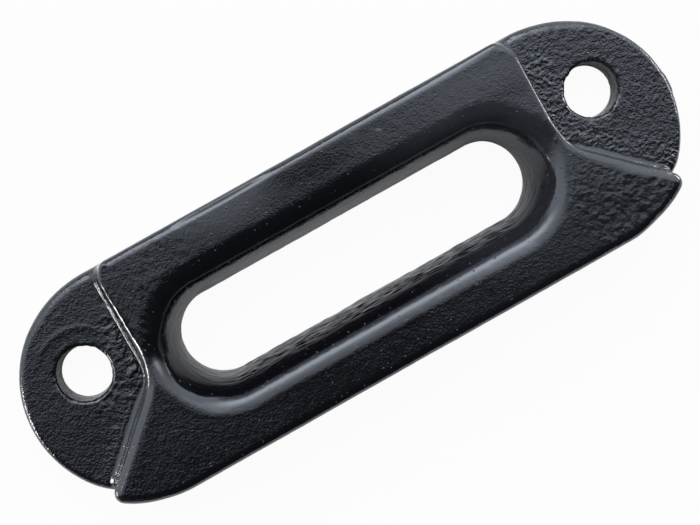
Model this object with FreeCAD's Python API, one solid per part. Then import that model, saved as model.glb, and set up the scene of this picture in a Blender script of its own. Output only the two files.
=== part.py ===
# Hawse fairlead for a small winch: one casting, bolted by its flange to a mounting plate.
# Lying on its flat back: X runs along the long axis, Z points out of the front, the origin is
# the middle of the back face. The two bolt holes sit on the +Y side of the middle line.
# Millimetres.
import FreeCAD
import Part
import math
import os

# Flange
END_RADIUS = 25.0
END_SPAN = 105.6
OUTLINE_DRAFT = 1.0
FLANGE_THICKNESS = 6.4

# Bolt holes
HOLE_SPACING = 124.0
HOLE_DIAMETER = 11.8
HOLE_OFFSET = 6.2
HOLE_FRONT_CHAMFER = 0.5
HOLE_BACK_CHAMFER = 0.2

# Raised body
BODY_HEIGHT = 19.0
WALL_FOOT_X = 51.0
WALL_DRAFT = 14.0
WALL_TOP_ROUNDING = 0.8
WALL_FOOT_FILLET = 0.6
HORN_ANGLE = 47.0
HORN_DRAFT = 2.0
HORN_TURN_Y = -2.3
HORN_TURN_RADIUS = 10.0
HORN_TOP_ROUNDING = 2.2
HORN_FOOT_FILLET = 1.6
CORNER_RADIUS = 5.0
CORNER_TURN = 72.0
OUTLINE_ROUNDING = 2.2
FRONT_ROUNDING = OUTLINE_ROUNDING - 0.1
CORNER_FOOT_FILLET = 0.75 * OUTLINE_ROUNDING

# Slot
SLOT_LENGTH = 81.7
SLOT_WIDTH = 18.0
LIP_WIDTH = 8.1
LIP_DEPTH = 13.5
BACK_RADIUS = 3.0
THROAT_DRAFT = 4.0

# Room that cutting shapes take past the faces they cut
CLEAR = 2.0


def vec(x, y, z=0.0):
    return FreeCAD.Vector(x, y, z)


def stadium_wire(span, radius, z):
    half = span / 2.0
    top = Part.makeLine(vec(half, radius, z), vec(-half, radius, z))
    left = Part.Arc(vec(-half, radius, z), vec(-half - radius, 0, z), vec(-half, -radius, z))
    low = Part.makeLine(vec(-half, -radius, z), vec(half, -radius, z))
    right = Part.Arc(vec(half, -radius, z), vec(half + radius, 0, z), vec(half, radius, z))
    return Part.Wire([top, left.toShape(), low, right.toShape()])


def blank():
    shrink = BODY_HEIGHT * math.tan(math.radians(OUTLINE_DRAFT))
    low = stadium_wire(END_SPAN, END_RADIUS, 0.0)
    top = stadium_wire(END_SPAN, END_RADIUS - shrink, BODY_HEIGHT)
    return Part.makeLoft([low, top], True, True)


def wall_line(z):
    """Plan line of one drafted end wall at height z, closed round the room beyond it."""
    rise = z - FLANGE_THICKNESS
    shift = rise * math.tan(math.radians(WALL_DRAFT))
    horn_shift = rise * math.tan(math.radians(HORN_DRAFT))
    wall_x = WALL_FOOT_X - shift
    turn = math.radians(HORN_ANGLE)
    along = vec(math.sin(turn), -math.cos(turn))
    meet_y = HORN_TURN_Y - (horn_shift - shift * math.cos(turn)) / math.sin(turn)
    radius = HORN_TURN_RADIUS + shift
    centre = vec(wall_x + radius, meet_y + radius * math.tan(turn / 2.0), z)
    corner = math.radians(CORNER_TURN)
    corner_x = wall_x - CORNER_RADIUS
    corner_y = END_RADIUS - CORNER_RADIUS * math.sin(corner)
    far_x = END_SPAN / 2.0 + END_RADIUS + 3.0 * CLEAR

    def on_turn(angle):
        return centre - vec(radius * math.cos(angle), radius * math.sin(angle))

    def on_corner(angle):
        x = corner_x + CORNER_RADIUS * math.cos(angle)
        return vec(x, corner_y + CORNER_RADIUS * math.sin(angle), z)

    horn_start = on_turn(turn)
    corner_end = on_corner(corner)
    corner_out = corner_end + vec(-math.sin(corner), math.cos(corner)) * (3.0 * CLEAR)
    tip = horn_start + along * ((far_x - horn_start.x) / along.x)
    high_y = corner_out.y + CLEAR
    path = [horn_start, tip, vec(far_x, high_y, z), vec(corner_out.x, high_y, z), corner_out]
    path.append(corner_end)
    edges = [Part.makeLine(a, b) for a, b in zip(path[:-1], path[1:])]
    edges.append(Part.Arc(corner_end, on_corner(corner / 2.0), on_corner(0.0)).toShape())
    edges.append(Part.makeLine(on_corner(0.0), on_turn(0.0)))
    edges.append(Part.Arc(on_turn(0.0), on_turn(turn / 2.0), horn_start).toShape())
    return Part.Wire(edges)


def middle(edge):
    return edge.valueAt((edge.FirstParameter + edge.LastParameter) / 2.0)


def fillet_edges(shape, chosen, radius_at):
    """Fillets whose radius may change along an edge, from radius_at of its two ends."""
    doc = FreeCAD.newDocument()
    base = doc.addObject("Part::Feature", "base")
    base.Shape = shape
    feature = doc.addObject("Part::Fillet", "rounded")
    feature.Base = base
    rows = []
    for number, edge in enumerate(shape.Edges, 1):
        if chosen(edge):
            first = radius_at(edge.valueAt(edge.FirstParameter))
            last = radius_at(edge.valueAt(edge.LastParameter))
            rows.append((number, first, last))
    feature.Edges = rows
    doc.recompute()
    solid = feature.Shape.Solids[0].copy()
    FreeCAD.closeDocument(doc.Name)
    return solid


def past_turn(point):
    """True on a horn, False on the straight end wall and on the corner at its far end."""
    return point.y < HORN_TURN_Y


def rim_gap(point):
    """Distance in plan from a point to the outline at the height of the point."""
    out = max(abs(point.x) - END_SPAN / 2.0, 0.0)
    shrink = point.z * math.tan(math.radians(OUTLINE_DRAFT))
    return END_RADIUS - shrink - math.hypot(out, point.y)


def end_cutter():
    """Room in front of one flange; its lower edge carries the fillet at the foot of the wall."""
    low = wall_line(FLANGE_THICKNESS)
    top = wall_line(BODY_HEIGHT + CLEAR)
    cutter = Part.makeLoft([low, top], True, True)
    far_x = END_SPAN / 2.0 + END_RADIUS

    def at_foot(edge):
        mid = middle(edge)
        flat = edge.BoundBox.ZMax < FLANGE_THICKNESS + 0.1
        return flat and mid.x < far_x and mid.y < END_RADIUS + CLEAR

    def radius_at(point):
        if past_turn(point):
            return HORN_FOOT_FILLET
        return CORNER_FOOT_FILLET if rim_gap(point) < OUTLINE_ROUNDING else WALL_FOOT_FILLET

    return fillet_edges(cutter, at_foot, radius_at)


def round_outline(body):
    """Rounds each horn tip; the rounding runs on along the flange rim to the upper corner."""
    tips = []
    for edge in body.Edges:
        mid = middle(edge)
        out = abs(mid.x) - END_SPAN / 2.0
        upright = edge.BoundBox.ZLength > (BODY_HEIGHT - FLANGE_THICKNESS) / 2.0
        if upright and out > CLEAR and mid.y < 0.0:
            tips.append(edge)
    return body.makeFillet(OUTLINE_ROUNDING, tips).Solids[0]


def round_front(body):
    """Rounds the front's edge: gently on the horns, tightly on the straight end walls."""

    def at_front(edge):
        return edge.BoundBox.ZMin > BODY_HEIGHT - 0.01

    def radius_at(point):
        if rim_gap(point) < 1.5 * OUTLINE_ROUNDING:
            return FRONT_ROUNDING
        return HORN_TOP_ROUNDING if past_turn(point) else WALL_TOP_ROUNDING

    return fillet_edges(body, at_front, radius_at)


def hole_cutter(x):
    """Bolt hole with its rims broken on both faces of the flange."""
    radius = HOLE_DIAMETER / 2.0
    front = radius + HOLE_FRONT_CHAMFER
    back = radius + HOLE_BACK_CHAMFER
    low_z = HOLE_BACK_CHAMFER
    high_z = FLANGE_THICKNESS - HOLE_FRONT_CHAMFER
    path = [vec(0, 0, -CLEAR), vec(back, 0, -CLEAR), vec(back, 0, 0), vec(radius, 0, low_z)]
    path += [vec(radius, 0, high_z), vec(front, 0, FLANGE_THICKNESS)]
    path += [vec(front, 0, FLANGE_THICKNESS + CLEAR), vec(0, 0, FLANGE_THICKNESS + CLEAR)]
    profile = Part.Face(Part.makePolygon(path + path[:1]))
    cutter = profile.revolve(vec(0, 0, 0), vec(0, 0, 1), 360)
    cutter.translate(vec(x, HOLE_OFFSET, 0))
    return cutter


def lip_profile():
    """Section of half the slot: back rounding, drafted throat, then the bell-mouth lip."""
    half = SLOT_WIDTH / 2.0
    throat_z = BODY_HEIGHT - LIP_DEPTH
    lean = math.radians(THROAT_DRAFT)
    back_z = BACK_RADIUS * (1.0 - math.sin(lean))
    back_x = half + (throat_z - back_z) * math.tan(lean)
    rim_x = back_x + BACK_RADIUS * math.cos(lean)
    bow = (math.pi / 2.0 - lean) / 2.0
    back_mid = vec(rim_x - BACK_RADIUS * math.sin(bow), 0, BACK_RADIUS * (1.0 - math.cos(bow)))
    lip_centre = vec(half + LIP_WIDTH, 0, throat_z)
    lip_end = vec(half + LIP_WIDTH, 0, BODY_HEIGHT)
    throat = vec(half, 0, throat_z)
    ellipse = Part.Ellipse(lip_end, throat, lip_centre)
    lip = Part.ArcOfEllipse(ellipse, 0.0, math.pi / 2.0).toShape()
    back_start = vec(rim_x, 0, 0)
    back_end = vec(back_x, 0, back_z)
    high_z = BODY_HEIGHT + CLEAR
    path = [lip_end, vec(lip_end.x, 0, high_z), vec(0, 0, high_z)]
    path += [vec(0, 0, -CLEAR), vec(rim_x, 0, -CLEAR), back_start]
    edges = [Part.makeLine(a, b) for a, b in zip(path[:-1], path[1:])]
    edges.append(Part.Arc(back_start, back_mid, back_end).toShape())
    edges.append(Part.makeLine(back_end, throat))
    edges.append(lip)
    return Part.Face(Part.Wire(edges))


def slot_cutter():
    span = SLOT_LENGTH - SLOT_WIDTH
    half = lip_profile()
    right = half.revolve(vec(0, 0, 0), vec(0, 0, 1), 180)
    right.rotate(vec(0, 0, 0), vec(0, 0, 1), -90)
    right.translate(vec(span / 2.0, 0, 0))
    left = right.mirror(vec(0, 0, 0), vec(1, 0, 0))
    side = half.copy()
    side.rotate(vec(0, 0, 0), vec(0, 0, 1), 90)
    side.translate(vec(-span / 2.0, 0, 0))
    upper = side.extrude(vec(span, 0, 0))
    lower = upper.mirror(vec(0, 0, 0), vec(0, 1, 0))
    return right.fuse([left, upper, lower])


def casting():
    cutter = end_cutter()
    body = blank().cut([cutter, cutter.mirror(vec(0, 0, 0), vec(1, 0, 0))])
    body = round_outline(body.Solids[0])
    body = round_front(body)
    half = HOLE_SPACING / 2.0
    body = body.cut([slot_cutter(), hole_cutter(half), hole_cutter(-half)])
    return body.removeSplitter().Solids[0]


if __name__ == "__main__":
    os.makedirs("parts", exist_ok=True)
    shape = casting()
    shape.exportStep("parts/fairlead_casting.step")
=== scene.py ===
import math
import bmesh
import bpy
import numpy as np
from mathutils import Euler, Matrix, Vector
from mathutils.bvhtree import BVHTree


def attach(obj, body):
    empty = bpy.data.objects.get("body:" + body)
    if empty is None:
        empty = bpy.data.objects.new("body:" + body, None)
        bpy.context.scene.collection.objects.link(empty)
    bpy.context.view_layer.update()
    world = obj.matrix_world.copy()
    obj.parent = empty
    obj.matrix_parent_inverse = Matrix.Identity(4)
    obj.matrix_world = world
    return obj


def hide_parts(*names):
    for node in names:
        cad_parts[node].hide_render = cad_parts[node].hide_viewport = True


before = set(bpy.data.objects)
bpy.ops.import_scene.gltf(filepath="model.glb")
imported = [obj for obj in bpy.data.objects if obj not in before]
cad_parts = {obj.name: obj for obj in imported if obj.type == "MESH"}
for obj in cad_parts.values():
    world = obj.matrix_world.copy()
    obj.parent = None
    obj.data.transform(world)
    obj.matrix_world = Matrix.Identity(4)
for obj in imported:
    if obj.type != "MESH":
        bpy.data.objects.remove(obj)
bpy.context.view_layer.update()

NODE = "fairlead_casting"
MM = 0.001

# Places on the casting, millimetres
END_X = 52.8
END_RADIUS = 25.0
WALL_X = 51.0
HORN_Y = -2.3
HORN_ANGLE = 47.0
CORNER_TURN = 72.0
HOLE_X = 62.0
HOLE_Y = 6.2
SLOT_HALF = 31.85
LIP_END = 17.1

# Roundings of the casting, millimetres
WALL_EDGE = 0.8
WALL_FOOT = 0.6
HORN_EDGE = 2.1
HORN_FOOT = 1.6
FLANGE_RIM = 2.2

# Mesh of the coated surface
CELL = 0.26 * MM
TRIANGLES = 190000

# Camera: lens and sensor in millimetres, place in metres, turn in radians
LENS = 65.66
SENSOR = 36.0
CAMERA_PLACE = (-0.00951, 0.01842, 0.27811)
CAMERA_TURN = (-0.047081, -0.060609, -0.509369)

# Table: half its side in metres, its paint, and the share of its own light in what is seen of it
TABLE_HALF = 3.0
TABLE_PAINT = (0.88, 0.82, 0.75, 1.0)
TABLE_GLOW = 0.95


def camera():
    data = bpy.data.cameras.new("camera")
    data.lens = LENS
    data.sensor_width = SENSOR
    cam = bpy.data.objects.new("camera", data)
    cam.location = CAMERA_PLACE
    cam.rotation_euler = Euler(CAMERA_TURN)
    bpy.context.scene.collection.objects.link(cam)
    bpy.context.scene.camera = cam


def aim(turn, rise):
    """Unit vector towards a lamp: turn from +X round to +Y, rise above the table, degrees."""
    a, e = math.radians(turn), math.radians(rise)
    return Vector((math.cos(e) * math.cos(a), math.cos(e) * math.sin(a), math.sin(e)))


# Light of the studio in shares of white. A pair is where a soft step starts and ends, as a
# cosine to X (right in the picture), Y (up in the picture) or Z (towards the camera)
LIGHT_COLOUR = (0.90, 0.99, 1.14, 1.0)
TENT = 0.40
TENT_EDGE = (-0.165, 0.0)
TENT_RISE = 0.60
TENT_RISE_EDGE = (-0.05, 0.40)
# The tent's edge stands back in the middle and at the far left
BACK_MIDDLE = -0.03
MIDDLE_LEFT = (-0.24, -0.19)
MIDDLE_RIGHT = (0.12, 0.06)
BACK_LEFT = -0.12
FAR_LEFT = (-0.30, -0.60)
# The tent ends above the table, and lower at both sides
LOW_EDGE = (0.0, 0.42)
LOW_DROP = 0.40
ASIDE = (0.35, 0.70)
# The right of the tent is brighter, most of all overhead
RIGHT_SHARE = 0.62
RIGHT_EDGE = (0.07, 0.16)
OVERHEAD = (0.60, 0.85)
OVERHEAD_SHARE = 0.6
# Soft box in the tent
BOX = 2.75
BOX_LEFT = (-0.60, -0.05)
BOX_RIGHT = (0.70, 0.15)
BOX_LOW = (0.22, 0.47)
BOX_HIGH = (0.92, 0.50)
BOX_NEAR = (0.0, 0.2)
# Glow under the tent's edge at the right
GLOW = 0.2
GLOW_X = (0.05, 0.35)
GLOW_Y = (-0.35, -0.05)
GLOW_END = (0.1, 0.0)
# Light of the room: from everywhere, from the left, and from the +Y side
ROOM_LIGHT = 0.035
ROOM_LEFT = 0.05
ROOM_LEFT_X = (-0.35, -0.60)
ROOM_LEFT_Z = (0.86, 0.70)
FILL = 0.08
FILL_EDGE = (0.1, 0.5)
# Far side lamp: strength, tightness, turn, rise
FAR_LAMP = (2.2, 60.0, -5.0, 34.0)
# Near side lamps: place in millimetres, length, height and strength
LEFT_LAMP = ((-137.0, 8.0, 15.5), 42.0, 14.0, 17.5)
RIGHT_LAMP = ((137.0, 0.0, 16.0), 54.0, 14.0, 11.5)
LAMP_AIM_Z = 10.0


class Nodes:
    """Small helper that joins maths nodes in one node tree."""

    def __init__(self, tree):
        self.tree = tree

    def add(self, kind):
        return self.tree.nodes.new(kind)

    def join(self, value, socket):
        if isinstance(value, (int, float)):
            socket.default_value = value
        else:
            self.tree.links.new(value, socket)

    def math(self, kind, *values):
        node = self.add("ShaderNodeMath")
        node.operation = kind
        for socket, value in zip(node.inputs, values):
            self.join(value, socket)
        return node.outputs[0]

    def product(self, *values):
        total = values[0]
        for value in values[1:]:
            total = self.math("MULTIPLY", total, value)
        return total

    def sum(self, *values):
        total = values[0]
        for value in values[1:]:
            total = self.math("ADD", total, value)
        return total

    def ramp(self, value, start, stop):
        """Smooth step from 0 at start to 1 at stop; start may be the larger one."""
        node = self.add("ShaderNodeMapRange")
        node.interpolation_type = "SMOOTHSTEP"
        self.join(value, node.inputs["Value"])
        node.inputs["From Min"].default_value = start
        node.inputs["From Max"].default_value = stop
        return node.outputs["Result"]


def studio():
    """World light: a tent on the +Y side with a soft box in it, a lit room and a far side lamp."""
    world = bpy.data.worlds.new("studio")
    world.use_nodes = True
    nodes = Nodes(world.node_tree)
    back = world.node_tree.nodes["Background"]
    where = nodes.add("ShaderNodeTexCoord").outputs["Generated"]
    split = nodes.add("ShaderNodeSeparateXYZ")
    nodes.join(where, split.inputs[0])
    x, y, z = split.outputs

    def lamp(strength, tight, turn, rise):
        dot = nodes.add("ShaderNodeVectorMath")
        dot.operation = "DOT_PRODUCT"
        nodes.join(where, dot.inputs[0])
        dot.inputs[1].default_value = aim(turn, rise)
        fall = nodes.math("MULTIPLY_ADD", dot.outputs["Value"], tight, -tight)
        return nodes.math("MULTIPLY", nodes.math("EXPONENT", fall), strength)

    middle = nodes.product(nodes.ramp(x, *MIDDLE_LEFT), nodes.ramp(x, *MIDDLE_RIGHT))
    left = nodes.math("MULTIPLY", nodes.ramp(x, *FAR_LEFT), BACK_LEFT)
    height = nodes.sum(nodes.math("MULTIPLY_ADD", middle, BACK_MIDDLE, y), left)
    edge = nodes.ramp(height, *TENT_EDGE)
    aside = nodes.ramp(nodes.math("ABSOLUTE", x), *ASIDE)
    low = nodes.ramp(nodes.math("MULTIPLY_ADD", aside, LOW_DROP, z), *LOW_EDGE)
    rise = nodes.math("MULTIPLY", nodes.ramp(y, *TENT_RISE_EDGE), TENT_RISE)
    over = nodes.ramp(z, *OVERHEAD)
    over = nodes.math("MULTIPLY_ADD", over, OVERHEAD_SHARE, 1.0 - OVERHEAD_SHARE)
    right = nodes.sum(nodes.product(nodes.ramp(x, *RIGHT_EDGE), over, RIGHT_SHARE), 1.0)
    tent = nodes.product(nodes.sum(nodes.math("MULTIPLY", edge, TENT), rise), low, right)
    wide = nodes.product(nodes.ramp(x, *BOX_LEFT), nodes.ramp(x, *BOX_RIGHT))
    tall = nodes.product(nodes.ramp(z, *BOX_LOW), nodes.ramp(z, *BOX_HIGH))
    box = nodes.product(wide, tall, nodes.ramp(y, *BOX_NEAR), BOX)
    glow = nodes.product(nodes.ramp(x, *GLOW_X), nodes.ramp(y, *GLOW_Y))
    glow = nodes.product(glow, nodes.ramp(y, *GLOW_END), GLOW)
    fill = nodes.math("MULTIPLY", nodes.ramp(y, *FILL_EDGE), FILL)
    side = nodes.product(nodes.ramp(x, *ROOM_LEFT_X), nodes.ramp(z, *ROOM_LEFT_Z), ROOM_LEFT)
    total = nodes.sum(tent, box, glow, lamp(*FAR_LAMP), side, fill, ROOM_LIGHT)
    back.inputs["Color"].default_value = LIGHT_COLOUR
    nodes.join(total, back.inputs["Strength"])
    bpy.context.scene.world = world


def side_lamp(name, place, length, height, strength):
    """Small soft lamp beside one end; it shows in the gloss only."""
    data = bpy.data.lights.new(name, "AREA")
    data.shape = "ELLIPSE"
    data.size = length * MM
    data.size_y = height * MM
    data.energy = strength * math.pi * math.pi / 4.0 * data.size * data.size_y
    lamp = bpy.data.objects.new(name, data)
    lamp.location = Vector(place) * MM
    toward = Vector((math.copysign(END_X, place[0]), place[1], LAMP_AIM_Z)) - Vector(place)
    lamp.rotation_euler = toward.to_track_quat("-Z", "Y").to_euler()
    lamp.visible_diffuse = False
    bpy.context.scene.collection.objects.link(lamp)


def floor():
    mesh = bpy.data.meshes.new("table_top")
    r = TABLE_HALF
    mesh.from_pydata([(-r, -r, 0), (r, -r, 0), (r, r, 0), (-r, r, 0)], [], [(0, 1, 2, 3)])
    table = bpy.data.objects.new("table_top", mesh)
    bpy.context.scene.collection.objects.link(table)
    mat = bpy.data.materials.new("white_table")
    mat.use_nodes = True
    mat.node_tree.nodes.clear()
    nodes = Nodes(mat.node_tree)
    out = nodes.add("ShaderNodeOutputMaterial")
    mix = nodes.add("ShaderNodeMixShader")
    path = nodes.add("ShaderNodeLightPath")
    share = nodes.math("MULTIPLY", path.outputs["Is Camera Ray"], TABLE_GLOW)
    paint = nodes.add("ShaderNodeBsdfDiffuse")
    paint.inputs["Color"].default_value = TABLE_PAINT
    glow = nodes.add("ShaderNodeEmission")
    glow.inputs["Strength"].default_value = 1.0
    nodes.join(share, mix.inputs["Fac"])
    nodes.join(paint.outputs[0], mix.inputs[1])
    nodes.join(glow.outputs[0], mix.inputs[2])
    nodes.join(mix.outputs[0], out.inputs["Surface"])
    mesh.materials.append(mat)


# Coat: its own colour, the paler colour painted in at the right end as painted light from the right,
# and its gloss
COAT_COLOUR = (0.0030, 0.0028, 0.0042, 1.0)
PAINTED_LIGHT_COLOUR = (0.0300, 0.0300, 0.0330, 1.0)
ROUGHNESS = 0.16
COAT_ROUGHNESS = 0.07
# Clouds in the painted light: size in millimetres, detail, their strength and the least share of it
CLOUD_SIZE = 2.4
CLOUD_DETAIL = 3.0
CLOUD = 0.8
CLOUD_LEAST = 0.6
# Layers of the finest grain: size and height in millimetres
FINE_GRAIN = ((0.60, 0.080), (0.36, 0.070))
# Layers of grains under the coat: cell and radius in millimetres, share of cells, height
SPECKS = ((1.3, 0.26, 0.3, 0.08), (0.9, 0.18, 0.2, 0.05))


def coat():
    mat = bpy.data.materials.new("black_powder_coat")
    mat.use_nodes = True
    nodes = Nodes(mat.node_tree)
    shader = mat.node_tree.nodes["Principled BSDF"]
    shader.inputs["Roughness"].default_value = ROUGHNESS
    shader.inputs["IOR"].default_value = 1.5
    shader.inputs["Coat Weight"].default_value = 1.0
    shader.inputs["Coat Roughness"].default_value = COAT_ROUGHNESS
    where = nodes.add("ShaderNodeTexCoord").outputs["Object"]

    def painted(name):
        node = nodes.add("ShaderNodeAttribute")
        node.attribute_name = name
        return node.outputs["Fac"]

    def noise(size, detail):
        node = nodes.add("ShaderNodeTexNoise")
        node.inputs["Scale"].default_value = 1.0 / (size * MM)
        node.inputs["Detail"].default_value = detail
        nodes.join(where, node.inputs["Vector"])
        return node.outputs["Fac"]

    def specks(size, radius, share):
        """Round grains under the coat, in a share of cells of this size."""
        node = nodes.add("ShaderNodeTexVoronoi")
        node.inputs["Scale"].default_value = 1.0 / (size * MM)
        nodes.join(where, node.inputs["Vector"])
        pick = nodes.add("ShaderNodeSeparateColor")
        nodes.join(node.outputs["Color"], pick.inputs[0])
        dome = nodes.ramp(node.outputs["Distance"], radius / size, 0.0)
        return nodes.product(dome, nodes.math("LESS_THAN", pick.outputs[0], share))

    # The second colour is painted light: a paler coat mixed in at the right end, in clouds, in place
    # of light from the right
    tint = nodes.add("ShaderNodeMix")
    tint.data_type = "RGBA"
    tint.inputs[6].default_value = COAT_COLOUR
    tint.inputs[7].default_value = PAINTED_LIGHT_COLOUR
    cloud = nodes.math("MULTIPLY_ADD", noise(CLOUD_SIZE, CLOUD_DETAIL), CLOUD, CLOUD_LEAST)
    nodes.join(nodes.product(cloud, painted("painted_light")), tint.inputs[0])
    nodes.join(tint.outputs[2], shader.inputs["Base Color"])

    strength = painted("grain")
    fine = [nodes.product(noise(size, 1.0), strength, height) for size, height in FINE_GRAIN]
    dots = [nodes.product(specks(*cells), height) for *cells, height in SPECKS]
    bump = nodes.add("ShaderNodeBump")
    bump.inputs["Distance"].default_value = MM
    nodes.join(nodes.sum(*fine, nodes.sum(*dots)), bump.inputs["Height"])
    nodes.join(bump.outputs["Normal"], shader.inputs["Normal"])
    nodes.join(bump.outputs["Normal"], shader.inputs["Coat Normal"])
    return mat


def coords(mesh):
    out = np.empty(len(mesh.vertices) * 3)
    mesh.vertices.foreach_get("co", out)
    return out.reshape(-1, 3)


def move(mesh, places):
    mesh.vertices.foreach_set("co", places.astype(np.float32).ravel())
    mesh.update()


def cad_surface(node):
    """Corner places, corner normals and triangles of the CAD mesh, with a search tree."""
    mesh = node.data
    mesh.calc_loop_triangles()
    count = len(mesh.loop_triangles)
    verts = coords(mesh)
    corners = np.empty(count * 3, dtype=np.int32)
    mesh.loop_triangles.foreach_get("vertices", corners)
    corners = corners.reshape(-1, 3)
    loops = np.empty(count * 3, dtype=np.int32)
    mesh.loop_triangles.foreach_get("loops", loops)
    normals = np.empty(len(mesh.loops) * 3)
    mesh.corner_normals.foreach_get("vector", normals)
    normals = normals.reshape(-1, 3)[loops].reshape(-1, 3, 3)
    tree = BVHTree.FromPolygons([Vector(v) for v in verts], corners.tolist())
    return verts[corners], normals, tree


def bake(piece):
    """Makes the result of the modifiers the piece's own mesh."""
    graph = bpy.context.evaluated_depsgraph_get()
    mesh = bpy.data.meshes.new_from_object(piece.evaluated_get(graph))
    piece.modifiers.clear()
    piece.data = mesh


# How a point leaves its facet for the smooth surface: share of the way, and the furthest that it
# may go in the lip, on the flange's rim and elsewhere, millimetres, with where lip and rim begin
SWELL = 0.75
LIP_MOVE = 0.06
RIM_MOVE = 0.03
PLAIN_MOVE = 0.012
LIP_ZONE = 18.0
RIM_ZONE = 22.5


def settle(points, surface):
    """Moves points onto the smooth surface that the CAD triangles stand for."""
    corners, normals, tree = surface
    found = [tree.find_nearest(Vector(p)) for p in points]
    hit = np.array([f[0][:] for f in found])
    tri = np.array([f[2] for f in found])
    a, b, c = corners[tri, 0], corners[tri, 1], corners[tri, 2]
    v0, v1, v2 = b - a, c - a, hit - a
    d00, d01, d11 = (v0 * v0).sum(1), (v0 * v1).sum(1), (v1 * v1).sum(1)
    d20, d21 = (v2 * v0).sum(1), (v2 * v1).sum(1)
    scale = np.maximum(d00 * d11 - d01 * d01, 1e-30)
    wb = np.clip((d11 * d20 - d01 * d21) / scale, 0.0, 1.0)
    wc = np.clip((d00 * d21 - d01 * d20) / scale, 0.0, 1.0)
    weights = np.stack([1.0 - wb - wc, wb, wc], axis=1)[:, :, None]
    tri_normals = normals[tri]
    normal = (weights * tri_normals).sum(1)
    normal /= np.linalg.norm(normal, axis=1, keepdims=True)
    gap = ((hit[:, None, :] - corners[tri]) * tri_normals).sum(2, keepdims=True)
    push = SWELL * (weights * -gap * tri_normals).sum(1)
    p = hit / MM
    most = np.where(end_gap(p) > RIM_ZONE, RIM_MOVE, PLAIN_MOVE)
    most = MM * np.where(slot_gap(p) < LIP_ZONE, LIP_MOVE, most)
    size = np.maximum(np.linalg.norm(push, axis=1), 1e-12)
    return hit + push * np.minimum(1.0, most / size)[:, None], normal


def calm(mesh, place, weight, rounds):
    """Evens out the facets of drawn roundings where the weight is above 0."""
    ends = np.empty(len(mesh.edges) * 2, dtype=np.int32)
    mesh.edges.foreach_get("vertices", ends)
    ends = ends.reshape(-1, 2)
    near = ends[(weight[ends] > 0.0).any(axis=1)]
    a, b = np.concatenate([near, near[:, ::-1]]).T
    count = np.maximum(np.bincount(a, minlength=len(place)), 1)[:, None]
    for _ in range(rounds):
        total = np.stack([np.bincount(a, place[b, i], len(place)) for i in range(3)], axis=1)
        place = place + 0.5 * weight[:, None] * (total / count - place)
    return place


def ramp(x, start, stop):
    """Smooth step from 0 at start to 1 at stop; start may be the larger one."""
    t = np.clip((x - start) / (stop - start), 0.0, 1.0)
    return t * t * (3.0 - 2.0 * t)


def bell(x, middle, width):
    """Soft bump of height 1."""
    return np.exp(-(((x - middle) / width) ** 2))


def between(x, low, high):
    return (x > low) & (x < high)


def sides(p, left, right):
    """The left value in the left half of the casting and the right one in the right half."""
    return np.where(p[:, 0] > 0.0, right, left)


# Axes of the soft zones; AWAY is the distance from the middle along X
X, Y, Z, AWAY = range(4)


def zone(p, steps):
    """Product of soft steps; each is an axis, and where the step starts and ends in millimetres."""
    places = (p[:, 0], p[:, 1], p[:, 2], np.abs(p[:, 0]))
    total = np.ones(len(p))
    for axis, start, stop in steps:
        total = total * ramp(places[axis], start, stop)
    return total


def wall_gap(p):
    """Distance in plan from the foot line of the end wall and its horn, positive on the flange."""
    turn = math.radians(HORN_ANGLE)
    out = np.abs(p[:, 0]) - WALL_X
    horn = out * math.cos(turn) + (p[:, 1] - HORN_Y) * math.sin(turn)
    return np.minimum(out, horn)


def past(p, middle):
    """Distance along X past the places at plus and minus middle, 0 between them."""
    return np.maximum(np.abs(p[:, 0]) - middle, 0.0)


def slot_gap(p):
    """Distance in plan from the slot's middle line."""
    return np.hypot(past(p, SLOT_HALF), p[:, 1])


def end_gap(p):
    """Distance in plan from the line between the centres of the rounded ends."""
    return np.hypot(past(p, END_X), p[:, 1])


def hole_gap(p, x):
    """Distance in plan from the axis of the hole at x."""
    return np.hypot(p[:, 0] - x, p[:, 1] - HOLE_Y)


def along_slot(p):
    """Points unrolled along the slot's rim, so that grain runs round it."""
    bend = 10.0
    apart = 20.0
    turn = np.arctan2(past(p, SLOT_HALF), np.abs(p[:, 1]))
    run = np.sign(p[:, 0]) * (np.minimum(np.abs(p[:, 0]), SLOT_HALF) + bend * turn)
    return np.stack([run, np.sign(p[:, 1]) * apart, p[:, 2]], axis=1)


def tilt(n):
    """Angle between the surface and the table, degrees."""
    return np.degrees(np.arccos(np.clip(n[:, 2], -1.0, 1.0)))


def facing_up(n):
    return ramp(n[:, 2], 0.6, 0.9)


def outward(p, n):
    """True where the surface faces away from the middle along X."""
    return n[:, 0] * p[:, 0] > 0.0


# The random field: where it starts in millimetres, and its deviation before it is made 1
FIELD_START = (90.0, 90.0, 10.0)
FIELD_DEVIATION = 0.332


def noise(p, size, seed, stretch=(1.0, 1.0, 1.0)):
    """Smooth random field at points p, mean 0 and deviation 1; size is its grain in millimetres."""
    q = (p + FIELD_START) / (size * np.array(stretch))
    base = np.floor(q).astype(int)
    f = q - base
    base = base - base.min(axis=0)
    grid = np.random.default_rng(seed).standard_normal(base.max(axis=0) + 4)
    second = (3 * f**3 - 6 * f**2 + 4) / 6
    third = (-3 * f**3 + 3 * f**2 + 3 * f + 1) / 6
    w = ((1 - f) ** 3 / 6, second, third, f**3 / 6)
    total = np.zeros(len(p))
    for i in range(4):
        for j in range(4):
            for k in range(4):
                weight = w[i][:, 0] * w[j][:, 1] * w[k][:, 2]
                total += weight * grid[base[:, 0] + i, base[:, 1] + j, base[:, 2] + k]
    return total / FIELD_DEVIATION


def pebbles(p, size, seed):
    """Rounded tops with narrow valleys between them."""
    return np.sqrt(noise(p, size, seed) ** 2 + 0.1) - 0.8


def layers(p, rows):
    """Sum of random fields; a row is the kind, its height, then grain, seed and stretch."""
    total = np.zeros(len(p))
    for kind, height, *field in rows:
        total += height * kind(p, *field)
    return total


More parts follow.
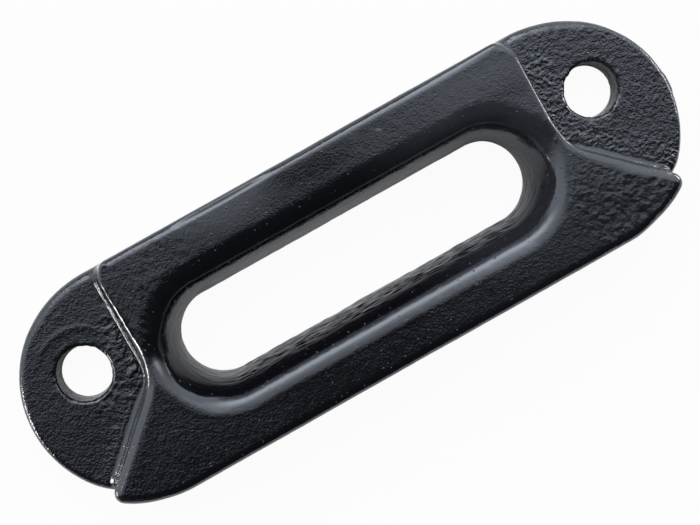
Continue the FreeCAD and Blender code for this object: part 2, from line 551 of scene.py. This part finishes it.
# Soft zones on the casting: axis, then where the step starts and ends, millimetres
RIGHT_HALF = ((X, -1.0, 1.0),)
ON_FLANGE = ((Z, 8.0, 7.0),)
ON_TOP = ((Z, 16.5, 18.0),)
OFF_BACK = ((Z, 1.0, 3.0),)
PEEL_START = ((Z, 0.2, 1.5),)
HORN_START = ((Y, HORN_Y + 4.0, HORN_Y - 2.0),)
BELOW_CORNER = ((Y, 21.0, 17.0),)
HOLLOW_UPPER = ((Y, 17.0, 12.0),)
HOLLOW_LOWER = ((Y, -13.0, -8.0),)
BELOW_HOLE = ((Y, 4.0, -1.0), (X, -65.0, -61.0))
ON_HORN = ((Y, -3.0, -8.0), (AWAY, 40.0, 47.0))
UPPER_LEFT = ((X, -20.0, -32.0), (Y, 3.0, 7.0))
THROAT_DEPTH = ((Z, 15.0, 12.0),)
SLOT_END = ((AWAY, 30.0, 36.0),)
CROWN = ((Y, 13.0, 16.0), (X, -34.0, -24.0), (X, -4.0, -12.0))
UPPER_TOP = ((Y, 12.0, 16.0),)
RIGHT_DIP = ((X, 20.0, 38.0), (X, 50.0, 44.0))

# Soft steps in the distance from a wall's foot, the slot's middle line or a hole's axis
FOOT_STEP = (0.2, 0.9)
WALL_NEAR = (8.0, 4.0)
HOLLOW_NEAR = (5.5, 2.0)
HORN_INSIDE = (-2.0, -3.5)
THROAT_NEAR = (13.0, 11.5)
BELOW_HOLE_NEAR = (11.0, 8.0)
HOLE_RIM_NEAR = (7.6, 6.2)

# Layers of texture: kind of field, height and grain in millimetres, seed, stretch
PEEL = ((noise, 0.005, 0.42, 11), (noise, 0.004, 1.1, 12), (noise, 0.010, 4.0, 13))
FLANGE_RIGHT = ((pebbles, 0.080, 0.40, 21), (noise, 0.055, 0.32, 23), (noise, 0.012, 1.1, 22))
FLANGE_LEFT = ((noise, 0.010, 0.4, 33),)
HOLLOW_LEFT = ((noise, 0.090, 0.65, 31), (pebbles, 0.105, 0.38, 32))
HORN_RIGHT = ((noise, 0.008, 0.85, 41), (pebbles, 0.017, 0.42, 42), (noise, 0.014, 0.34, 44))
HORN_LEFT = ((noise, 0.008, 0.5, 43),)
CORNER_LEFT = ((noise, 0.018, 0.42, 51, (1.0, 1.6, 1.0)),)
STREAKS = ((noise, 1.0, 0.32, 61, (4.0, 1.0, 1.0)),)
RAGGED = ((noise, 1.0, 0.55, 71),)

# Pebbles far from the wall, in shares of those near it; depth of the hollow; share below the hole
PEBBLES_FAR = 0.35
HOLLOW_DEPTH = 0.04
BELOW_HOLE_SHARE = 0.7
# Width of the smooth strip at the horns' feet, and height of the ragged rims: left and right
SMOOTH_FOOT = (1.9, 1.4)
RAGGED_RIM = (0.040, 0.060)
# Height of the streaks in the throat: lower side, upper side and ends
STREAK_LOWER = 0.075
STREAK_UPPER = 0.026
STREAK_END = 0.025
# Rounding off of the front along the upper edge: start, and fall by the square of the distance
CROWN_Y = 18.5
CROWN_FALL = 0.0100
# Waves of the front along the upper edge: height, middle and width; the dip at the right
WAVES = ((-0.070, -18.0, 7.5), (0.046, 0.0, 8.5))
DIP = 0.030
WAVE_Y = 20.0
WAVE_WIDTH = 2.6


def by_wall(p):
    """1 on the flange beside the straight end wall, 0 further out."""
    return ramp(wall_gap(p), *WALL_NEAR) * zone(p, BELOW_CORNER)


def by_hollow(p):
    """1 close to the foot of the straight end wall, 0 further out."""
    return ramp(wall_gap(p), *HOLLOW_NEAR) * zone(p, HOLLOW_UPPER)


def in_throat(p):
    return ramp(slot_gap(p), *THROAT_NEAR) * zone(p, THROAT_DEPTH)


def flange_texture(p, up, left):
    """Pebbles at the right end; at the left end a rough hollow by the wall and below the hole."""
    late = zone(p, HORN_START) * sides(p, *SMOOTH_FOOT)
    flange = up * zone(p, ON_FLANGE) * ramp(wall_gap(p) - late, *FOOT_STEP)
    share = PEBBLES_FAR + (1.0 - PEBBLES_FAR) * by_wall(p)
    total = flange * (1.0 - left) * share * layers(p, FLANGE_RIGHT)
    hollow = by_hollow(p) * zone(p, HOLLOW_LOWER)
    below = ramp(hole_gap(p, -HOLE_X), *BELOW_HOLE_NEAR) * zone(p, BELOW_HOLE)
    crease = flange * left * np.maximum(hollow, BELOW_HOLE_SHARE * below)
    total += crease * (layers(p, HOLLOW_LEFT) - HOLLOW_DEPTH)
    return total + flange * left * layers(p, FLANGE_LEFT)


def front_texture(p, top, left):
    """Grain of the front on the horns and at the upper left, and its waves along the upper edge."""
    horn = top * ramp(wall_gap(p), *HORN_INSIDE) * zone(p, ON_HORN)
    total = horn * (1.0 - left) * layers(p, HORN_RIGHT)
    total += horn * left * layers(p, HORN_LEFT)
    total += top * left * zone(p, UPPER_LEFT) * layers(p, CORNER_LEFT)
    total -= top * zone(p, CROWN) * CROWN_FALL * np.maximum(p[:, 1] - CROWN_Y, 0.0) ** 2
    wave = sum(height * bell(p[:, 0], middle, width) for height, middle, width in WAVES)
    wave -= DIP * zone(p, RIGHT_DIP)
    across = WAVE_WIDTH * np.tanh((p[:, 1] - WAVE_Y) / WAVE_WIDTH)
    return total + top * zone(p, UPPER_TOP) * wave * across


def opening_texture(p):
    """Streaks in the throat and ragged rims of the holes."""
    streak = np.where(p[:, 1] > 0.0, STREAK_UPPER, STREAK_LOWER)
    streak = streak + (STREAK_END - streak) * zone(p, SLOT_END)
    total = in_throat(p) * streak * layers(along_slot(p), STREAKS)
    rim = ramp(hole_gap(p, HOLE_X * np.sign(p[:, 0])), *HOLE_RIM_NEAR)
    total += rim * sides(p, *RAGGED_RIM) * layers(p, RAGGED)
    return total * zone(p, OFF_BACK)


def relief(p, n):
    """Height of the cast and coated surface over the drawn form, millimetres."""
    left = 1.0 - zone(p, RIGHT_HALF)
    up = facing_up(n)
    total = layers(p, PEEL) * zone(p, PEEL_START)
    total += flange_texture(p, up, left)
    total += front_texture(p, up * zone(p, ON_TOP), left)
    total += opening_texture(p)
    total += lip_shape(p) + marks(p, up)
    total += horn_edges(p, n) + wall_edges(p, n) + corner_edges(p, n)
    return total + tight_rim(p, n)


# Marks of the casting: x, y, radius and height of round bumps and pits on the flanges
MARKS = (
    (-51.4, 17.4, 0.8, -0.12),
    (-60.6, 19.3, 0.6, 0.05),
    (61.6, -16.2, 0.8, -0.13),
    (56.0, -20.8, 0.8, -0.12),
    (66.8, -12.4, 0.7, -0.08),
    (53.2, -15.8, 1.2, 0.06),
    (-45.6, 4.3, 0.45, 0.08),
    (-48.0, 2.4, 0.40, 0.08),
    (47.0, 1.2, 0.40, 0.07),
)
# Raised arc over the left hole: radius, width and height, and the turns where it starts and ends
ARC_RADIUS = 10.0
ARC_WIDTH = 0.55
ARC_HEIGHT = 0.10
ARC_START = (38.0, 55.0)
ARC_STOP = (150.0, 115.0)
# Nick in the upper side of the throat: place and half width along X and Z, depth
NICK_X = (-30.5, 2.0)
NICK_Z = (11.0, 0.9)
NICK_DEPTH = 0.35
NICK_SIDE = ((Y, 7.0, 9.0),)
NICK_REACH = 11.0


def mound(p, x, y, radius, height):
    """Round soft bump, or a pit where the height is negative."""
    d = np.hypot(p[:, 0] - x, p[:, 1] - y) / radius
    return height * np.exp(-d * d)


def marks(p, up):
    """Pits, bumps, the raised arc over the left hole and the nick in the throat, millimetres."""
    total = np.zeros(len(p))
    for mark in MARKS:
        total += up * mound(p, *mark)
    turn = np.degrees(np.arctan2(p[:, 1] - HOLE_Y, p[:, 0] + HOLE_X))
    arc = ramp(turn, *ARC_START) * ramp(turn, *ARC_STOP) * zone(p, ON_FLANGE)
    total += ARC_HEIGHT * up * arc * bell(hole_gap(p, -HOLE_X), ARC_RADIUS, ARC_WIDTH)
    nick = bell(p[:, 0], *NICK_X) * bell(p[:, 2], *NICK_Z)
    return total - NICK_DEPTH * nick * zone(p, NICK_SIDE) * (slot_gap(p) < NICK_REACH)


# Flats on the roundings, degrees: tilt of their middle, and half width. A pair is left and right
HORN_FLAT = 38.0
HORN_FLAT_WIDTH = (21.0, 14.0)
WALL_FLAT = (41.5, 39.0)
FOOT_FLAT = 37.5
WALL_FLAT_WIDTH = 12.0
# Where the horns' front edge has its flat: least height and X, Y, and distance from the outline
HORN_EDGE_Z = 15.0
HORN_EDGE_X = 48.0
HORN_SIDE = ((Y, 0.0, -4.0),)
TIP_STEP = (2.4, 4.0)
# The right horn's edge is tighter by this much, away from its tip
HORN_SHRINK = 0.7
HORN_UPPER = ((Y, -12.5, -8.0),)
# Where the straight walls have their flats, and a gap in the upper one at the left
STRAIGHT = ((Y, 1.0, 6.0), (Y, 22.5, 20.0))
WALL_REACH = 5.0
WALL_TOP_Z = 17.5
WALL_FOOT_Z = (6.0, 8.0)
FLAT_GAP = (5.0, 1.5)
FLAT_GAP_SHARE = 0.9
# Edge of the upper corners: where it is, how much tighter it gets, and its least radius
CORNER_Z = 16.0
CORNER_Y = 20.0
CORNER_START = ((Y, 20.5, 22.0),)
CORNER_SHRINK = 0.30
CORNER_BOTH = ((AWAY, 30.0, 42.0),)
CORNER_RIGHT = ((X, 40.0, 44.0),)
CORNER_LEAST = 1.0
# Bounds that keep a tighter rounding sound near its ends
LEAST_COSINE = 0.2
MOST_HEIGHT = 0.5


def chord(angle, middle, width):
    """Height, in shares of the radius, that cuts a flat across a rounding; angles in degrees."""
    off = np.minimum(np.abs(angle - middle), width)
    return np.cos(np.radians(width)) / np.cos(np.radians(off)) - 1.0


def rounding(angle, big, shrink):
    """Height along the normal that turns a rounding of radius big into one smaller by shrink."""
    s, c = np.sin(np.radians(angle)), np.cos(np.radians(angle))
    along = shrink * (s + c)
    arc = along + np.sqrt(np.maximum((big - shrink) ** 2 - 2.0 * shrink**2 + along**2, 0.0)) - big
    start = np.degrees(np.arctan(shrink / big))
    flat = big / np.maximum(c, LEAST_COSINE) - big
    side = big / np.maximum(s, LEAST_COSINE) - big
    height = np.where(angle < start, flat, np.where(angle > 90.0 - start, side, arc))
    return np.clip(height, 0.0, MOST_HEIGHT)


def horn_edges(p, n):
    """Flat along the front edge of each horn, and a tighter edge on the right horn."""
    angle = tilt(n)
    horn = outward(p, n) * (p[:, 2] > HORN_EDGE_Z) * (np.abs(p[:, 0]) > HORN_EDGE_X)
    horn = horn * zone(p, HORN_SIDE) * ramp(END_RADIUS - end_gap(p), *TIP_STEP)
    flat = HORN_EDGE * horn * chord(angle, HORN_FLAT, sides(p, *HORN_FLAT_WIDTH))
    tight = horn * sides(p, 0.0, 1.0) * zone(p, HORN_UPPER)
    return flat + tight * rounding(angle, HORN_EDGE, HORN_SHRINK)


def wall_edges(p, n):
    """Flats along the edge of both straight end walls and the foot of the left one."""
    angle = tilt(n)
    z = p[:, 2]
    left = sides(p, 1.0, 0.0)
    wall = outward(p, n) * zone(p, STRAIGHT) * (np.abs(np.abs(p[:, 0]) - WALL_X) < WALL_REACH)
    gap = FLAT_GAP_SHARE * left * bell(p[:, 1], *FLAT_GAP)
    top = WALL_EDGE * wall * (z > WALL_TOP_Z) * (1.0 - gap)
    foot = WALL_FOOT * wall * left * between(z, *WALL_FOOT_Z)
    top = top * chord(angle, sides(p, *WALL_FLAT), WALL_FLAT_WIDTH)
    return top - foot * chord(angle, FOOT_FLAT, WALL_FLAT_WIDTH)


def corner_edges(p, n):
    """Tighter edge round the upper corners of the front, most of all at the right."""
    corner = (p[:, 2] > CORNER_Z) * (np.abs(p[:, 0]) < WALL_X) * (p[:, 1] > CORNER_Y)
    corner = corner * (n[:, 1] > 0.0) * zone(p, CORNER_START)
    around = np.degrees(np.arctan2(np.abs(n[:, 0]), np.maximum(n[:, 1], 1e-6)))
    radius = HORN_EDGE - (HORN_EDGE - WALL_EDGE) * np.clip(around / CORNER_TURN, 0.0, 1.0)
    shrink = CORNER_SHRINK * (zone(p, CORNER_BOTH) + zone(p, CORNER_RIGHT))
    shrink = np.clip(np.minimum(shrink, radius - CORNER_LEAST), 0.001, 1.0)
    return corner * rounding(tilt(n), radius, shrink)


# Turns of the lip's section: distance from the slot's middle line in millimetres, degrees
LOWER_LIP = (
    (9.0, 3.0), (10.5, 6.0), (12.0, 5.0), (13.3, 5.5), (14.2, 2.0),
    (15.0, -4.0), (16.0, -6.0), (17.1, -5.0),
)
UPPER_LIP = (
    (9.0, 0.0), (10.0, 2.0), (11.0, 8.0), (12.0, 11.0), (12.5, 6.5), (13.0, -2.4), (13.5, -15.0),
    (14.3, -22.0), (15.0, -19.0), (16.0, -10.5), (16.5, -5.5), (17.1, 0.5), (18.0, 0.0), (19.2, 0.0),
)
END_LIP = (
    (9.0, 0.0), (10.5, 3.0), (11.0, 4.0), (12.0, 6.0), (12.5, 8.0), (13.0, 11.0), (13.5, 12.5),
    (14.0, 8.0), (14.5, 3.5), (15.0, -2.0), (15.4, -13.0), (16.0, -12.0), (16.5, -6.0), (17.1, -5.0),
)
# Steps along a section, how many of them its turns are evened out over, and the lip's reach
LIP_STEPS = 150
LIP_WINDOW = 13
LIP_REACH = 8.2
# Where the lip turns round the slot's ends, as a share, and where the sections hold
LIP_ROUND = (0.55, 0.85)
LIP_HEIGHT = ((Z, 2.0, 8.0),)
LOWER_SIDE = ((Y, 3.0, -6.0),)
UPPER_SIDE = ((Y, 1.0, 8.0),)
THROAT_HELD = (10.8, 9.0)


def lip_shape(p):
    """The real lip turns late and sharply on its lower side and its ends, and early on the upper."""
    low = bent_lip(p, LOWER_LIP)
    turned = ramp(past(p, SLOT_HALF) / np.maximum(slot_gap(p), 1.0), *LIP_ROUND)
    low += (bent_lip(p, END_LIP) - low) * turned
    both = low * zone(p, LOWER_SIDE) + bent_lip(p, UPPER_LIP) * zone(p, UPPER_SIDE)
    return both * zone(p, LIP_HEIGHT)


def bent_lip(p, section):
    """Height that gives the lip the turns of a section; the upper throat keeps its place."""
    places, turns = zip(*section)
    d = np.linspace(places[0], places[-1], LIP_STEPS)
    turn = np.pad(np.interp(d, places, turns), LIP_WINDOW // 2, mode="edge")
    turn = np.convolve(turn, np.ones(LIP_WINDOW) / LIP_WINDOW, mode="valid")
    step = (d[1] - d[0]) / np.sqrt(np.maximum(1.0 - ((d - LIP_END) / LIP_REACH) ** 2, 0.1))
    height = np.cumsum((np.radians(-turn) * step)[::-1])[::-1]
    gap = slot_gap(p)
    held = ramp(gap, *THROAT_HELD) * zone(p, UPPER_SIDE)
    return np.interp(gap, d, height) - height[0] * held


# The flange's rim: where it is, how much tighter it gets at the left and right end, and the
# turns from the middle line between which it does
RIM_REACH = 21.8
RIM_PAST = 1.0
RIM_Z = (3.8, 7.0)
RIM_SHRINK = (0.6, 0.9)
RIM_TURN = (62.0, 45.0)


def tight_rim(p, n):
    """Height that makes the rounding of the flange's rim tighter at both ends."""
    out = past(p, END_X)
    turn = np.degrees(np.abs(np.arctan2(p[:, 1], out)))
    rim = (end_gap(p) > RIM_REACH) * (out > RIM_PAST) * between(p[:, 2], *RIM_Z)
    shrink = ramp(turn, *RIM_TURN) * sides(p, *RIM_SHRINK)
    return rim * rounding(np.minimum(tilt(n), 90.0), FLANGE_RIM, shrink)


# Strength of the finest grain, and what is added to it from place to place
PLAIN_GRAIN = 0.45
GRAIN = {
    "flange": 0.35,
    "right flange": 0.9,
    "left end": 0.3,
    "lip": -0.15,
    "hollow": 0.9,
    "throat": 1.2,
}
GRAIN_FAR = 0.5
LEFT_END = ((X, -25.0, -35.0),)
THROAT_LOWER = ((Y, 2.0, -2.0),)
LIP_NEAR = (17.0, 15.0)
# Share of the grain that is lost on the walls' edges, more on the horns, and at the horns' feet
EDGE_LOSS = 0.6
HORN_LOSS = 0.35
FOOT_LOSS = 0.8
EDGE_FACING = (0.985, 0.90)
EDGE_NEAR = (2.5, 1.5)
FOOT_NEAR = (2.6, 1.6)
FOOT_PAST = (-0.5, 0.2)
HORN_PART = ((Y, 0.0, -3.0),)


def grain(p, n):
    """Strength of the coat's finest grain from place to place."""
    flange = facing_up(n) * zone(p, ON_FLANGE)
    gap = wall_gap(p)
    right = sides(p, 0.0, 1.0)
    lip = ramp(slot_gap(p), *LIP_NEAR)
    where = {
        "flange": flange,
        "right flange": flange * right * (GRAIN_FAR + (1.0 - GRAIN_FAR) * by_wall(p)),
        "left end": zone(p, LEFT_END) * (1.0 - lip),
        "lip": lip,
        "hollow": flange * (1.0 - right) * by_hollow(p),
        "throat": in_throat(p) * zone(p, THROAT_LOWER),
    }
    total = PLAIN_GRAIN + sum(GRAIN[name] * share for name, share in where.items())
    horn = zone(p, HORN_PART)
    edge = ramp(n[:, 2], *EDGE_FACING) * ramp(gap, *EDGE_NEAR) * (EDGE_LOSS + HORN_LOSS * horn)
    foot = FOOT_LOSS * horn * flange * ramp(gap, *FOOT_NEAR) * ramp(gap, *FOOT_PAST)
    return total * (1.0 - np.maximum(edge, foot))


# Painted light at the right end, a paler coat colour in place of light from the right: plain, less
# on the horn, more in the lip but for its lower side
PAINTED_LIGHT = 0.30
PAINTED_LIGHT_HORN = -0.18
PAINTED_LIGHT_LIP = 0.65
PAINTED_LIGHT_LOWER_LIP = -0.20
PAINTED_LIGHT_START = ((X, 4.0, 32.0),)
PAINTED_LIGHT_HORN_START = ((Y, -8.0, -15.0),)
PAINTED_LIGHT_LIP_NEAR = (19.0, 16.0)
PAINTED_LIGHT_LIP_Z = ((Z, 6.0, 9.0),)


def painted_light(p):
    """Share of painted light: a paler coat colour towards the right end in place of light from the
    right, most of all in the lip.
    """
    lip = ramp(slot_gap(p), *PAINTED_LIGHT_LIP_NEAR) * zone(p, PAINTED_LIGHT_LIP_Z)
    lip = lip * (PAINTED_LIGHT_LIP + PAINTED_LIGHT_LOWER_LIP * zone(p, LOWER_SIDE))
    return zone(p, PAINTED_LIGHT_START) * (PAINTED_LIGHT + PAINTED_LIGHT_HORN * zone(p, PAINTED_LIGHT_HORN_START) + lip)


# Ways in which the real casting leaves its drawn form, millimetres. A pair is left and right
HORN_SHORT = (0.25, 0.55)
UPPER_RIGHT_IN = 0.18
END_BUMP = 0.25
WALL_TOP_OUT = 0.45
WALL_FOOT_IN = 0.40
HORN_FOOT_OUT = 0.42
HORN_FOOT_WIDE = 1.85
LIP_UP = 0.47
LONG_EDGE_OUT = (0.08, 0.20)
HOLE_TAPER = (0.30, 0.20)
# Their soft zones
FOOT_START = ((Z, 3.0, 6.0),)
FOOT_LOW = ((Z, 16.5, 9.0),)
FOOT_ALONG = ((Y, HORN_Y + 2.0, HORN_Y - 6.0),)
FILLET = ((Y, HORN_Y + 1.0, HORN_Y - 4.0), (Z, 12.0, 8.5), (Z, 3.0, 6.0))
WALL_ALONG = ((Y, HORN_Y - 2.0, HORN_Y + 5.0), (Y, 23.5, 20.0))
WALL_LOW = ((Z, 14.0, 8.0),)
WALL_HIGH = ((Z, 9.0, 16.0),)
LIP_UPPER = ((Z, 8.0, 16.0), (Y, -3.0, 6.0))
HOLE_DEPTH = ((Z, 6.2, 0.0),)
LONG_EDGE_X = ((AWAY, 60.0, 50.0),)
LONG_EDGE_RIGHT = ((X, -5.0, 15.0),)
# Soft steps in distances from the wall's foot, the middle line, the slot's and a hole's
WALL_OUTER = (4.0, 1.5)
WALL_INNER = (-6.0, -4.0)
FOOT_TIP = (25.0, 23.0)
FILLET_TIP = (24.5, 22.5)
LIP_OUTER = (24.0, 20.0)
LONG_EDGE_Y = (20.0, 24.0)
HOLE_NEAR = (7.5, 6.3)
RIM_STEP = (15.0, 22.0)
# Turns along the rim in degrees, down from the middle line
HORN_TURN = (40.0, 52.0)
HORN_TURN_END = (95.0, 75.0)
UPPER_TURN = (-20.0, -40.0)
UPPER_TURN_END = (-95.0, -75.0)
# The bump on the right end: its middle along Y, and its steps along Y and across the rim
BUMP_Y = -0.5
BUMP_STEP = (3.0, 1.5)
BUMP_RIM = (24.0, 24.8)


def rim_pull(p):
    """How far the rim is drawn in at the horns' tips and the upper right, less the bump."""
    turn = np.degrees(np.arctan2(-p[:, 1], past(p, END_X)))
    reach = end_gap(p)
    rim = ramp(reach, *RIM_STEP)
    horn = rim * ramp(turn, *HORN_TURN) * ramp(turn, *HORN_TURN_END)
    upper = rim * ramp(turn, *UPPER_TURN) * ramp(turn, *UPPER_TURN_END)
    bump = ramp(np.abs(p[:, 1] - BUMP_Y), *BUMP_STEP) * ramp(reach, *BUMP_RIM)
    right = UPPER_RIGHT_IN * upper - END_BUMP * bump
    return horn * sides(p, *HORN_SHORT) + right * sides(p, 0.0, 1.0)


def foot_height(gap, radius):
    """Height of a fillet over the flange at this distance from the wall's foot line."""
    run = radius - np.clip(gap, 0.0, radius)
    return radius - np.sqrt(radius**2 - run**2)


def wall_shift(p, band):
    """How far the straight walls stand out along X: the right one's top out, the left foot in."""
    straight = band * zone(p, WALL_ALONG)
    high = WALL_TOP_OUT * sides(p, 0.0, 1.0) * zone(p, WALL_HIGH)
    low = WALL_FOOT_IN * sides(p, 1.0, 0.0) * zone(p, WALL_LOW)
    return straight * (high - low)


def warp(p):
    """Small ways in which the real casting leaves its drawn form, millimetres."""
    x, y = p[:, 0], p[:, 1]
    side = np.sign(x)
    gap = wall_gap(p)
    reach = end_gap(p)
    band = ramp(gap, *WALL_OUTER) * ramp(gap, *WALL_INNER) * zone(p, FOOT_START)
    foot = HORN_FOOT_OUT * band * zone(p, FOOT_ALONG + FOOT_LOW) * ramp(reach, *FOOT_TIP)
    fillet = foot_height(gap, HORN_FOOT_WIDE) - foot_height(gap, HORN_FOOT)
    fillet *= zone(p, FILLET) * ramp(reach, *FILLET_TIP)
    lip = LIP_UP * ramp(slot_gap(p), *LIP_OUTER) * zone(p, LIP_UPPER)
    least, most = LONG_EDGE_OUT
    edge = least + (most - least) * zone(p, LONG_EDGE_RIGHT)
    edge *= ramp(np.abs(y), *LONG_EDGE_Y) * zone(p, LONG_EDGE_X)
    hole = hole_gap(p, HOLE_X * side)
    taper = ramp(hole, *HOLE_NEAR) * zone(p, HOLE_DEPTH) * sides(p, *HOLE_TAPER)
    taper /= np.maximum(hole, 1.0)
    pull = rim_pull(p) / np.maximum(reach, 1.0)
    turn = math.radians(HORN_ANGLE)
    out = p.copy()
    out[:, 0] += side * (foot * math.cos(turn) + wall_shift(p, band) - pull * past(p, END_X))
    out[:, 0] -= taper * (x - HOLE_X * side)
    out[:, 1] += foot * math.sin(turn) + lip + np.sign(y) * edge
    out[:, 1] -= taper * (y - HOLE_Y) + pull * y
    out[:, 2] += fillet
    return out


# Where the cells are halved: heights, and distances from the wall's foot or the middle line
FINE_TOP_Z = 16.0
FINE_TOP = (-5.0, 0.5)
FINE_FOOT_Z = (5.0, 9.0)
FINE_FOOT = (-1.6, 1.6)
FINE_RIM_Z = (3.6, 7.0)
FINE_RIM = 22.2
FINE_RIM_X = END_X + 11.0


def refine(mesh):
    """Halves the cells along the edges and feet of the end walls and on the flange's rim."""
    p = coords(mesh) / MM
    z = p[:, 2]
    gap = wall_gap(p)
    top = (z > FINE_TOP_Z) & between(gap, *FINE_TOP)
    foot = between(z, *FINE_FOOT_Z) & between(gap, *FINE_FOOT)
    rim = between(z, *FINE_RIM_Z) & (end_gap(p) > FINE_RIM) & (np.abs(p[:, 0]) > FINE_RIM_X)
    chosen = top | foot | rim
    grid = bmesh.new()
    grid.from_mesh(mesh)
    edges = [e for e in grid.edges if chosen[e.verts[0].index] and chosen[e.verts[1].index]]
    bmesh.ops.subdivide_edges(grid, edges=edges, cuts=1, use_grid_fill=True)
    grid.to_mesh(mesh)
    grid.free()


# Where the facets of the front's edge are evened out, how much at the corners, and how often
CALM_OUTER = (0.8, 0.2)
CALM_INNER = (-4.2, -3.4)
CALM_Z = ((Z, 15.5, 16.5),)
CALM_HORN = ((Y, 4.0, 1.0),)
CALM_CORNER = ((Y, 19.5, 21.5),)
CALM_CORNER_SHARE = 0.6
CALM_ROUNDS = 24


def calm_edges(mesh, place):
    gap = wall_gap(place)
    band = ramp(gap, *CALM_INNER) * ramp(gap, *CALM_OUTER) * zone(place, CALM_Z)
    share = np.maximum(zone(place, CALM_HORN), CALM_CORNER_SHARE * zone(place, CALM_CORNER))
    return calm(mesh, place, band * share, CALM_ROUNDS)


def paint(mesh, name, values):
    """Writes one value for each point of the mesh, for the coat to read."""
    layer = mesh.attributes.new(name, "FLOAT", "POINT")
    layer.data.foreach_set("value", values.astype(np.float32))


def triangles(mesh):
    return sum(len(p.vertices) - 2 for p in mesh.polygons)


def casting():
    """The coated casting: the CAD form in fine cells, warped, textured and thinned."""
    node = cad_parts[NODE]
    surface = cad_surface(node)
    piece = bpy.data.objects.new("coated_casting", node.data.copy())
    bpy.context.scene.collection.objects.link(piece)
    piece.data.materials.clear()
    remesh = piece.modifiers.new("cells", "REMESH")
    remesh.mode = "VOXEL"
    remesh.voxel_size = CELL
    bake(piece)
    refine(piece.data)
    place, normal = settle(coords(piece.data), surface)
    place = calm_edges(piece.data, place / MM)
    height = relief(place, normal)
    place = warp(place) + height[:, None] * normal
    move(piece.data, place * MM)

    thin = piece.modifiers.new("thin", "DECIMATE")
    total = triangles(piece.data)
    thin.ratio = TRIANGLES / total
    bake(piece)

    place, normal = settle(coords(piece.data), surface)
    paint(piece.data, "grain", grain(place / MM, normal))
    # Share of painted light for the coat: a paler colour at the right end in place of light from the
    # right
    paint(piece.data, "painted_light", painted_light(place / MM))
    piece.data.polygons.foreach_set("use_smooth", np.ones(len(piece.data.polygons), dtype=bool))
    piece.data.materials.append(coat())
    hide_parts(NODE)
    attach(piece, "root")
    print("triangles", triangles(piece.data), "of", total)


def main():
    camera()
    studio()
    side_lamp("left_lamp", *LEFT_LAMP)
    side_lamp("right_lamp", *RIGHT_LAMP)
    floor()
    casting()
    bpy.context.scene.view_settings.view_transform = "Standard"


main()
